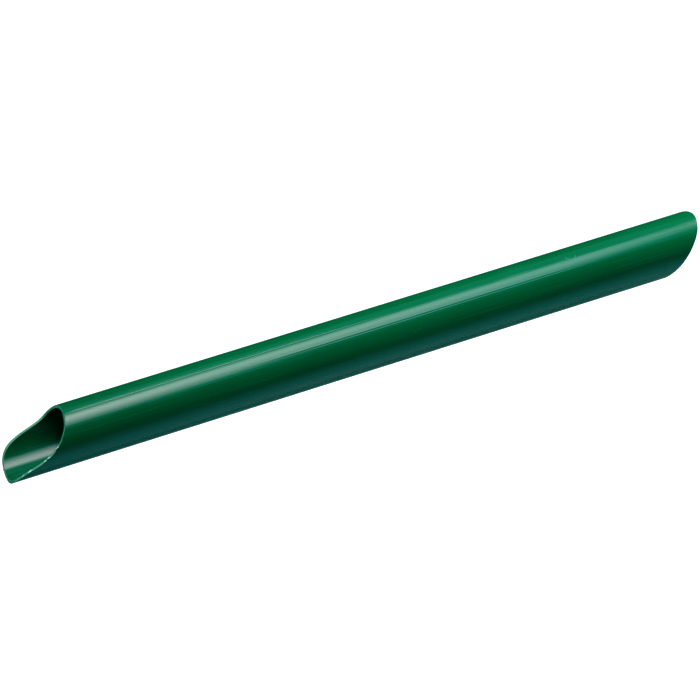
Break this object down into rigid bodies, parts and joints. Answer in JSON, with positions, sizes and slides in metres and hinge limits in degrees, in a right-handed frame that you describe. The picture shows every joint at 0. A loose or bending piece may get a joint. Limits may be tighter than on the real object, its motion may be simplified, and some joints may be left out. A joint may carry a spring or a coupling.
{
  "type": "straight slide",
  "caption": "Straight tube slide in glossy green plastic, with a scooped, blunt-nosed outlet at one end and a slanting flat-cut inlet that faces the other way.",
  "frame": {"origin": "on the tube's axis, at half its overall length", "axes": "+X along the tube from the scooped outlet to the mitred inlet; +Z away from the outlet's lip, the way the outlet's mouth opens; +Y completes a right-handed frame"},
  "size_m": [1.55, 0.125, 0.125],
  "materials": {
    "green_plastic": "smooth extruded gloss"
  },
  "bodies": {
    "root": {"slide_tube": "green_plastic"}
  },
  "joints": []
}
